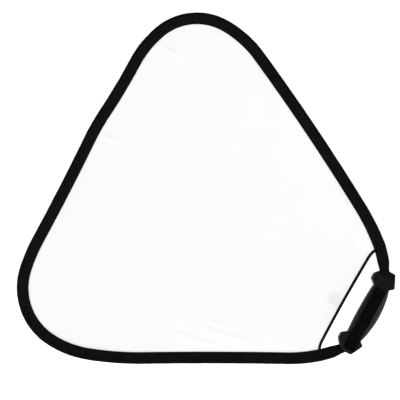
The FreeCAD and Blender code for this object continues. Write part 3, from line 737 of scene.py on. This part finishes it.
def border_distance(points, loop):
    """How far each point is from the nearest point of a closed line."""
    tree = KDTree(len(loop))
    for i, (x, z) in enumerate(loop):
        tree.insert((x, z, 0), i)
    tree.balance()
    return np.array([tree.find((x, z, 0))[2] for x, z in points])


BORDER_STEP, BORDER_FINE = 0.004, 0.001      # in metres, as all of these
PLAIN_STEP, CREASE_STEP = 0.0058, 0.0026
BORDER_CLEAR = 0.0025
CREASE_LEAST = 0.06                          # in millimetres


def panel_spots(border, dense):
    """Points inside the border, closer together on the creases."""
    low, high = border.min(0), border.max(0)
    plain, fine = lattice(low, high, PLAIN_STEP), lattice(low, high, CREASE_STEP)
    flat = np.abs(crease_height(*plain.T / MM)) <= CREASE_LEAST
    raised = np.abs(crease_height(*fine.T / MM)) > CREASE_LEAST
    spots = np.concatenate([plain[flat], fine[raised]])
    spots = spots[within(spots, border)]
    return spots[border_distance(spots, dense) > BORDER_CLEAR]


def build_panel():
    border = even_loop(panel_border(), BORDER_STEP)
    dense = even_loop(border, BORDER_FINE)
    start = [Vector(p) for p in np.concatenate([border, panel_spots(border, dense)])]
    outline = [list(range(len(border)))]
    flat = geometry.delaunay_2d_cdt(start, [], outline, 1, 1e-7)
    points = np.array([list(v) for v in flat[0]])
    faces = [list(face) for face in flat[2]]
    a, b, c = (points[i] for i in faces[0][:3])
    if (b[0] - a[0]) * (c[1] - a[1]) < (b[1] - a[1]) * (c[0] - a[0]):
        faces = [face[::-1] for face in faces]
    inside = border_distance(points, dense) / MM
    x, z = points.T
    lift = panel_offset(x / MM, z / MM, inside) * MM
    sheets = [np.stack([x, -lift + side * PANEL_HALF * MM, z], -1) for side in (-1, 1)]
    total = len(points)
    solid = faces + [[i + total for i in face[::-1]] for face in faces]
    solid += [[b, a, a + total, b + total] for a, b in open_edges(faces)]
    uv = np.concatenate([points, points]) / MM
    return add_mesh("panel_sheet", np.concatenate(sheets), solid, PANEL_CLOTH, uv)


panel = build_panel()


def tape_ripple(s, p, curve):
    """How far the edge tape stands off its smooth shape: it sinks in along its seam."""
    depth = np.abs(p)
    side = np.where(p < 0, 0.0, 11.0)
    stitched = 1 + 0.4 * np.cos(TAU * s / TAPE_PITCH)
    groove = 0.09 * np.exp(-((depth - TAPE_SEAM) / 0.12) ** 2) * stitched
    return 0.03 * waves(s + side, 9, 21) - groove


def tape_sizes(s):
    return [size + 0.0 * s for size in TAPE_FOLD]


edge = FoldedTape(TAPE, tape_sizes, tape_ripple, TAPE_WALL)
edge_tape = edge.build("opening_tape", np.arange(0, TAPE_LENGTH + 0.01, TAPE_STEP),
                       np.linspace(-1, 1, 21), np.linspace(-1, 1, 7), TAPE_CLOTH)
tape_seam = stitches("opening_tape_seams",
                     [(edge.surface(side * TAPE_SEAM), 1.0, TAPE_LENGTH - 1.0) for side in (-1, 1)],
                     TAPE_PITCH, FINE_THREAD, THREAD)


def label_surface(u, v, depth):
    """A point on the label: u, v run over its size, in millimetres. It follows
    the panel, well inside whose edge it lies, and curls at its free corners."""
    x, z = LABEL_PLACE[0] + u, LABEL_PLACE[1] + v
    flat = place(x, 0 * x, z)
    lift = -panel_offset(flat[..., 0] / MM, flat[..., 2] / MM, np.full(np.shape(x), 30.0))
    aside = np.clip(np.abs(u) / (LABEL_SIZE[0] / 2), 0, 1)
    corner = aside ** 6 * np.clip(v / LABEL_SIZE[1], 0, 1) ** 6
    curl = np.abs(0.5 * corner + 0.10 * np.sin(u * 0.9 + v * 0.4) * aside ** 2)
    return place(x, lift + PANEL_HALF + LABEL_GAP + LABEL_FACE + curl + depth, z)


def build_label():
    half = LABEL_SIZE[0] / 2 - LABEL_MARGIN
    u = np.linspace(-half, half, 41)[None, :]
    v = np.linspace(LABEL_MARGIN, LABEL_SIZE[1] - LABEL_MARGIN, 47)[:, None]
    u, v = np.broadcast_arrays(u, v)
    hem = 0.09 * smooth((LABEL_HEM[0] - np.minimum(v, LABEL_SIZE[1] - v)) / LABEL_HEM[1])
    front = label_surface(u, v, 0.0 * u)
    back = label_surface(u, v, LABEL_THICK - LABEL_FACE + hem)
    uv = np.stack([u, v], -1).reshape(-1, 2)
    return add_mesh("sewn_label_tape", np.stack([front, back]), slab(*u.shape), LABEL_CLOTH,
                    np.concatenate([uv, uv]))


def label_row(fixed, horizontal):
    """For stitches: points and normals along one row of the label."""
    def at(s):
        u, v = (s, np.full(s.shape, fixed)) if horizontal else (np.full(s.shape, fixed), s)
        top = label_surface(u, v, np.full(s.shape, LABEL_THICK - 0.06))
        return top, np.broadcast_to((0.0, 1.0, 0.0), top.shape)
    return at


label = build_label()
aside = LABEL_SIZE[0] / 2 - LABEL_SEAM
sewn = (LABEL_SEAM, LABEL_SIZE[1] - LABEL_SEAM)
label_seam = stitches("label_seams",
                      [(label_row(v, True), -aside, aside) for v in sewn]
                      + [(label_row(u, False), *sewn) for u in (-aside, aside)],
                      LABEL_PITCH, FINE_THREAD, PALE_THREAD)

# ---- grip pads ----

def bulge(sizes, x):
    """A size of the grip at x: what it has at the ends, and more in the middle."""
    return sizes[0] + sizes[1] * (1 - (x / GRIP_REACH) ** 2)


def grip_point(x, angle, inset):
    """Point of the grip's rounded section; angle 0 faces the panel."""
    inner, outer, depth = bulge(GRIP_INNER, x), bulge(GRIP_OUTER, x), bulge(GRIP_DEPTH, x)
    middle, half = (inner - outer) / 2, (inner + outer) / 2 - inset
    c, s = np.cos(angle), np.sin(angle)
    power = 2 / GRIP_POWER
    return place(x, (depth - inset) * np.sign(s) * np.abs(s) ** power,
                 middle + half * np.sign(c) * np.abs(c) ** power)


def edge_angle(x, palm, inset):
    """Angle, from the middle of a pad, at which its long edges lie."""
    inner, outer = bulge(GRIP_INNER, x), bulge(GRIP_OUTER, x)
    middle, half = (inner - outer) / 2, (inner + outer) / 2 - inset
    reach = (PAD_EDGE + middle) / half if palm else (PAD_EDGE - middle) / half
    return np.arccos(np.clip(reach, 0, 1) ** (GRIP_POWER / 2))


def build_pad(name, palm):
    ends = np.concatenate([[0, .12, .3, .6, 1.0, 1.6], np.arange(2.4, PAD_REACH - 0.5, PAD_STEP)])
    x = np.unique(np.concatenate([ends - PAD_REACH, PAD_REACH - ends]))[:, None]
    v = np.concatenate([[-1, -.995, -.985, -.965, -.935], np.linspace(-.9, .9, 37),
                        [.935, .965, .985, .995, 1]])[None, :]
    turn = math.pi if palm else 0.0
    top = edge_angle(x, palm, 0.0)
    long_edge = (1 - np.abs(v)) * top * PAD_RADIUS
    end_edge = (PAD_REACH - np.abs(x)) + 0 * v
    gap = np.minimum(long_edge, end_edge)
    rounded = PAD_ROUND[1] * (1 - np.sqrt(1 - (1 - np.clip(gap / PAD_ROUND[0], 0, 1)) ** 2))
    bead = PAD_BEAD[0] * np.exp(-((gap - PAD_BEAD[1]) / PAD_BEAD[2]) ** 2)
    inset = rounded + bead - PAD_CROWN[0] * smooth(gap / PAD_CROWN[1])
    outer = grip_point(x, turn + v * top, inset)
    under_edge = edge_angle(x, palm, PAD_DEEP)
    under = grip_point(x, turn + v * under_edge, np.full(v.shape, PAD_DEEP))
    faces = [face[::-1] for face in slab(*outer.shape[:2])]
    return add_mesh(name, np.stack([outer, under]), faces, PAD)


palm_pad = build_pad("palm_pad", True)
finger_pad = build_pad("finger_pad", False)

# ---- hand strap ----

RISE = STRAP_APEX - STRAP_FOOT
STRAP_RADIUS = (STRAP_SPAN ** 2 + RISE ** 2) / (2 * RISE)
STRAP_SLOPE = math.degrees(math.asin(STRAP_SPAN / STRAP_RADIUS))
foot = math.radians(STRAP_SLOPE)
STRAP_START = (-STRAP_SPAN - STRAP_LOWER_RUN * math.cos(foot),
               STRAP_FOOT - STRAP_LOWER_RUN * math.sin(foot))
STRAP_STRETCHES = [(STRAP_LOWER_RUN, 0.0), (STRAP_RADIUS * 2 * foot, -2 * STRAP_SLOPE),
                   (STRAP_UPPER_RUN, 0.0), (PIN_WRAP * math.pi, -180.0)] + STRAP_RETURN
STRAP = walk(STRAP_START, STRAP_SLOPE, STRAP_STRETCHES)
STRAP_LENGTH = sum(length for length, _ in STRAP_STRETCHES)
WRAP = walk(STRAP_START, STRAP_SLOPE + 180, [(PIN_WRAP * math.pi, -180.0)])
TAB_LEVEL = -WEBBING / 2 - 2 * PATCH - PATCH_GAP - WEBBING / 2


def in_side(chain, s, level, across):
    """A point beside a strap's line: level is negative on its front."""
    x, front = beside(chain, s, level)
    return place(x, -front, across)


def side_normal(chain, s):
    """Unit vector towards a strap's front."""
    h = along(chain, s)[2]
    return unit(place(-np.sin(h), -np.cos(h), 0 * h))


def web_relief(s, c):
    """Height of the webbing's ribs, at s along and c across it."""
    columns = np.abs(np.sin(math.pi * c / WEB_COLUMN)) ** 0.6
    ribs = 0.5 + 0.5 * np.cos(TAU * (s / WEB_RIB + 0.5 * np.floor(c / WEB_COLUMN)))
    selvedge = smooth((np.abs(c) - WEB_SELVEDGE[0]) / WEB_SELVEDGE[1])
    return 0.085 * columns * (0.55 + 0.45 * ribs) - 0.05 + 0.07 * selvedge


def flat_strip(name, chain, span, level, thick, width, relief, material, step, columns=71):
    """A woven strip: its two faces carry a relief, its edges are rounded."""
    s = np.linspace(span[0], span[1], max(3, int((span[1] - span[0]) / step)))[:, None]
    edge = thick / 2
    lift, rounding = edge * 0.97, edge * 0.6
    half = width / 2 - rounding
    c = np.linspace(-half, half, columns)[None, :]
    ring_c, ring_n = [], []
    for face, way, shift in ((c, -1.0, 0.0), (c[:, ::-1], 1.0, 0.4)):
        ring_c.append(face + 0 * s)
        ring_n.append(way * (lift + relief(s + shift, face)))
        for angle in (0.28 * math.pi, 0.5 * math.pi, 0.72 * math.pi):
            ring_c.append(np.sign(face[:, -1:]) * (half + rounding * math.sin(angle)) + 0 * s)
            ring_n.append(way * lift * math.cos(angle) + 0 * s)
    cc, nn = np.concatenate(ring_c, 1), np.concatenate(ring_n, 1)
    points = in_side(chain, s, level + nn, cc)
    cols = cc.shape[1]
    faces = grid(len(s), cols, wrap=True)
    faces.append(list(range(cols))[::-1])
    faces.append([(len(s) - 1) * cols + i for i in range(cols)])
    uv = np.stack([s + 0 * cc, cc + np.where(nn > 0, 40, 0)], -1)
    return add_mesh(name, points, faces, material, uv)


strap = flat_strip("strap_webbing", STRAP, (0, STRAP_LENGTH), 0.0, WEBBING, STRAP_WIDTH,
                   web_relief, WEB_CLOTH, WEB_STEP)
wrap = flat_strip("strap_round_pin", WRAP, (0, PIN_WRAP * math.pi), 0.0, WEBBING, STRAP_WIDTH,
                  web_relief, WEB_CLOTH, 0.2)
tab = flat_strip("tab_webbing", STRAP, (0, TAB_LENGTH + 2), TAB_LEVEL, WEBBING, STRAP_WIDTH,
                 web_relief, WEB_CLOTH, WEB_STEP)


def pile_relief(s, c):
    return 0.10 * np.sin(2.3 * s + 1.7 * np.sin(1.9 * c)) * np.sin(2.9 * c + np.sin(1.1 * s)) - 0.12


def plain_relief(s, c):
    return 0.02 * np.sin(5.1 * s) * np.sin(5.1 * c)


loop_level = -WEBBING / 2 - LOOP_BASE / 2
hook_level = -WEBBING / 2 - 2 * PATCH - PATCH_GAP + HOOK_BASE / 2
loop_base = flat_strip("loop_patch_ground", STRAP, LOOP_SPAN, loop_level, LOOP_BASE, PATCH_WIDTH,
                       pile_relief, LOOP_CLOTH, 0.5, 43)
hook_base = flat_strip("hook_patch_ground", STRAP, HOOK_SPAN, hook_level, HOOK_BASE, PATCH_WIDTH,
                       plain_relief, HOOK_CLOTH, 0.7, 31)


def build_loops():
    """Arched threads standing out of the loop patch."""
    rng = np.random.default_rng(8)
    count = LOOP_COUNT
    s = rng.uniform(LOOP_SPAN[0] + 1.2, LOOP_SPAN[1] - 1.2, count)[:, None]
    c = rng.uniform(-PATCH_WIDTH / 2 + 1.4, PATCH_WIDTH / 2 - 1.4, count)[:, None]
    way = rng.uniform(0, TAU, count)[:, None]
    size = rng.uniform(0.8, 1.15, count)[:, None]
    t = np.linspace(0, math.pi, 6)[None, :]
    out = 0.45 * size * np.cos(t)
    up = 0.62 * size * np.sin(t) - 0.1
    lean = 0.25 * np.sin(t) * rng.uniform(-1, 1, count)[:, None]
    ss = s + out * np.cos(way) - lean * np.sin(way)
    cc = c + out * np.sin(way) + lean * np.cos(way)
    top = -WEBBING / 2 - LOOP_BASE
    paths = in_side(STRAP, ss, top - up + 0.12, cc)
    ups = np.broadcast_to(unit(np.stack([np.cos(way), 0 * way, np.sin(way)], -1)), paths.shape)
    return tubes("loop_patch_pile", paths, ups, np.full(6, 0.075 * MM), 4, LOOP_CLOTH)


def build_hooks():
    """Rows of small hooks, standing towards the loops."""
    s, c = np.meshgrid(np.arange(HOOK_SPAN[0] + 1.6, HOOK_SPAN[1] - 1.2, HOOK_PITCH[0]),
                       np.arange(-PATCH_WIDTH / 2 + 1.6, PATCH_WIDTH / 2 - 1.2, HOOK_PITCH[1]))
    s, c = s.reshape(-1, 1), c.reshape(-1, 1)
    way = np.where((np.round(c / HOOK_PITCH[1]) % 2) == 0, 1.0, -1.0)
    along_hook = np.array([0, 0.02, 0.12, 0.36, 0.52])[None, :] * way
    height = np.array([0.0, 0.45, 0.72, 0.80, 0.60])[None, :]
    foot = -WEBBING / 2 - 2 * PATCH - PATCH_GAP + HOOK_BASE
    paths = in_side(STRAP, s + along_hook, foot + height - 0.02, c + 0 * along_hook)
    ups = np.broadcast_to(unit(place(0.0, 0.0, 1.0)), paths.shape)
    return tubes("hook_patch_hooks", paths, ups, np.array([0.14, 0.11, 0.1, 0.1, 0.07]) * MM, 4,
                 HOOK_CLOTH)


loop_pile = build_loops()
hooks = build_hooks()


def strap_row(level, c):
    """A stitched line along the strap, at a level and place across it."""
    def at(s):
        points = in_side(STRAP, s, np.full(s.shape, level), np.full(s.shape, c))
        return points, side_normal(STRAP, s)
    return at


def strap_cross_row(level, s0):
    """A stitched line across the strap at s0."""
    def at(c):
        s = np.full(c.shape, s0)
        return in_side(STRAP, s, np.full(c.shape, level), c), side_normal(STRAP, s)
    return at


def box_rows(level, span, half):
    return [(strap_row(level, half), *span), (strap_row(level, -half), *span),
            (strap_cross_row(level, span[0]), -half, half),
            (strap_cross_row(level, span[1]), -half, half)]


def inset_span(span, by):
    return span[0] + by, span[1] - by


tab_seams = stitches("tab_seams",
                     box_rows(TAB_LEVEL - WEBBING / 2, inset_span(HOOK_SPAN, 1.2), 9.2),
                     BOX_PITCH, STRAP_THREAD, THREAD)
loop_seams = stitches("loop_patch_seams",
                      box_rows(0.12 - WEBBING / 2 - LOOP_BASE, inset_span(LOOP_SPAN, 0.9), 9.6),
                      BOX_PITCH, STRAP_THREAD, THREAD)
SEWN_END = STRAP_LOWER_RUN + STRAP_RADIUS * 2 * foot
end_seams = stitches("strap_end_seams",
                     [(strap_cross_row(-WEBBING / 2, SEWN_END - back), -10, 10)
                      for back in (9.5, 6.5)],
                     BOX_PITCH, STRAP_THREAD, THREAD)

# ---- what rides on what ----

FIXED = [
    (edge_binding, "binding_tape", ["edge_binding"]), (binding_seams, "binding_tape", []),
    (panel, "panel_fabric", ["white_panel"]), (edge_tape, "edge_tape", ["panel_edge_tape"]),
    (tape_seam, "edge_tape", []), (label, "label_tape", ["sewn_label"]),
    (label_seam, "label_tape", []), (palm_pad, "pad_rubber", ["grip_pad_palm"]),
    (finger_pad, "pad_rubber", ["grip_pad_fingers"]), (strap, "webbing", ["hand_strap"]),
    (loop_base, "loop_pile", ["loop_patch"]), (loop_pile, "loop_pile", []),
    (loop_seams, "webbing", []), (end_seams, "webbing", []),
]
PEELED = [
    (tab, "webbing", ["strap_tab"]), (tab_seams, "webbing", []),
    (hook_base, "hook_tape", ["hook_patch"]), (hooks, "hook_tape", []),
]
for body, pieces in ((ROOT, FIXED), (TAB, PEELED)):
    for piece, slot, replaced in pieces:
        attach(piece, body)
        if replaced:
            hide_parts(*replaced)

# The webbing round the pin, from the strap to the tab: its start at the strap's level and at the
# tab's, and the wrap baked in place.
first = in_side(STRAP, np.array(0.0), 0.0, np.array(0.0))
last = in_side(STRAP, np.array(0.0), TAB_LEVEL, np.array(0.0))
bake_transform(wrap)

for name, material in [
    ("rim_spring_band", BAND_STEEL), ("band_joint_sleeve", BAND_STEEL),
    ("rim_clamp_upper", INNER), ("rim_clamp_lower", INNER), ("shell_screws", SCREW_STEEL),
    ("handle_front_shell", SHELL), ("handle_rear_shell", SHELL), ("strap_tip", TIP),
    ("strap_pin_upper", PIN_STEEL), ("strap_pin_lower", PIN_STEEL),
]:
    NODES[name].material_slots[0].material = material

# ---- floor, light and camera ----

low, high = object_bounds()
FLOOR_DROP = 0.012
FLOOR_SIDES = 64


def build_floor():
    """A wide round floor, its middle just under the object."""
    rings = np.concatenate([[0.0], np.geomspace(0.3, 60.0, 14)])
    around = np.arange(FLOOR_SIDES) * TAU / FLOOR_SIDES
    centre = (low + high) / 2
    x = centre.x + rings[:, None] * np.cos(around)
    y = centre.y + rings[:, None] * np.sin(around)
    points = np.stack([x, y, np.full(x.shape, low.z - FLOOR_DROP)], -1)
    material, tree, shader = blank("floor_paper", Specular_IOR_Level=0.1, Roughness=0.9)
    coords = node(tree, "TexCoord").outputs["Object"]
    tone = noise(tree, coords, 3.0, 4.0)
    tree.links.new(tint(tree, tone, grey(0.86), grey(0.9)), shader.inputs["Base Color"])
    shader.inputs["Emission Color"].default_value = (1, 1, 1, 1)
    shader.inputs["Emission Strength"].default_value = 0.95
    return add_mesh("floor", points, grid(len(rings), FLOOR_SIDES, wrap=True), material)


build_floor()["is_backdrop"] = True


def softbox(name, place_at, aim, size, power):
    lamp = bpy.data.lights.new(name, "AREA")
    lamp.shape, lamp.size, lamp.energy = "DISK", size, power
    thing = bpy.data.objects.new(name, lamp)
    thing.location = place_at
    thing.rotation_mode = "QUATERNION"
    thing.rotation_quaternion = (Vector(aim) - Vector(place_at)).to_track_quat("-Z", "Y")
    bpy.context.scene.collection.objects.link(thing)


LIGHTS = [       # name, place, size in metres, power in watts
    ("key_right", (2.8, -2.5, 0.75), 1.6, 70), ("key_left", (-3.5, -2.2, 0.45), 1.1, 42),
    ("top", (-0.3, 0.9, 3.0), 3.0, 5),
    ("back_left", (-2.4, 2.8, 1.2), 2.2, 40), ("back_right", (2.2, 2.8, 0.8), 2.2, 38),
]
for name, place_at, size, power in LIGHTS:
    softbox(name, place_at, (low + high) / 2, size, power)

BACKDROP = 1.1           # brightness of the paper behind, and of the room's light
AMBIENT = 0.14
world = bpy.data.worlds.new("studio")
bpy.context.scene.world = world
world.use_nodes = True
sky = world.node_tree
seen = node(sky, "Background", {"Color": (1, 1, 1, 1), "Strength": BACKDROP})
dim = node(sky, "Background", {"Color": (0.97, 0.985, 1, 1), "Strength": AMBIENT})
path = node(sky, "LightPath")
both = node(sky, "MixShader", {0: path.outputs["Is Camera Ray"], 1: dim.outputs[0],
                               2: seen.outputs[0]})
sky.links.new(both.outputs[0], sky.nodes["World Output"].inputs[0])
bpy.context.scene.view_settings.view_transform = "Standard"

# The view is square on the front, its middle a little left of the object's and below it.
VIEW_OFFSET = Vector((-0.01135, 0, -0.02316))
VIEW_SHARE = 1.058       # of the object's width
LENS, SENSOR = 180.0, 36.0
view_width = VIEW_SHARE * (CAD_BOX[1].x - CAD_BOX[0].x)
view_middle = (CAD_BOX[0] + CAD_BOX[1]) / 2 + VIEW_OFFSET
lens = bpy.data.cameras.new("front")
lens.lens, lens.sensor_width = LENS, SENSOR
camera = bpy.data.objects.new("front", lens)
camera.location = (view_middle.x, -view_width * LENS / SENSOR, view_middle.z)
camera.rotation_euler = (math.pi / 2, 0, 0)
bpy.context.scene.collection.objects.link(camera)
bpy.context.scene.camera = camera

size = {"cad": [list(corner) for corner in CAD_BOX], "visual": [list(c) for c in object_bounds()]}
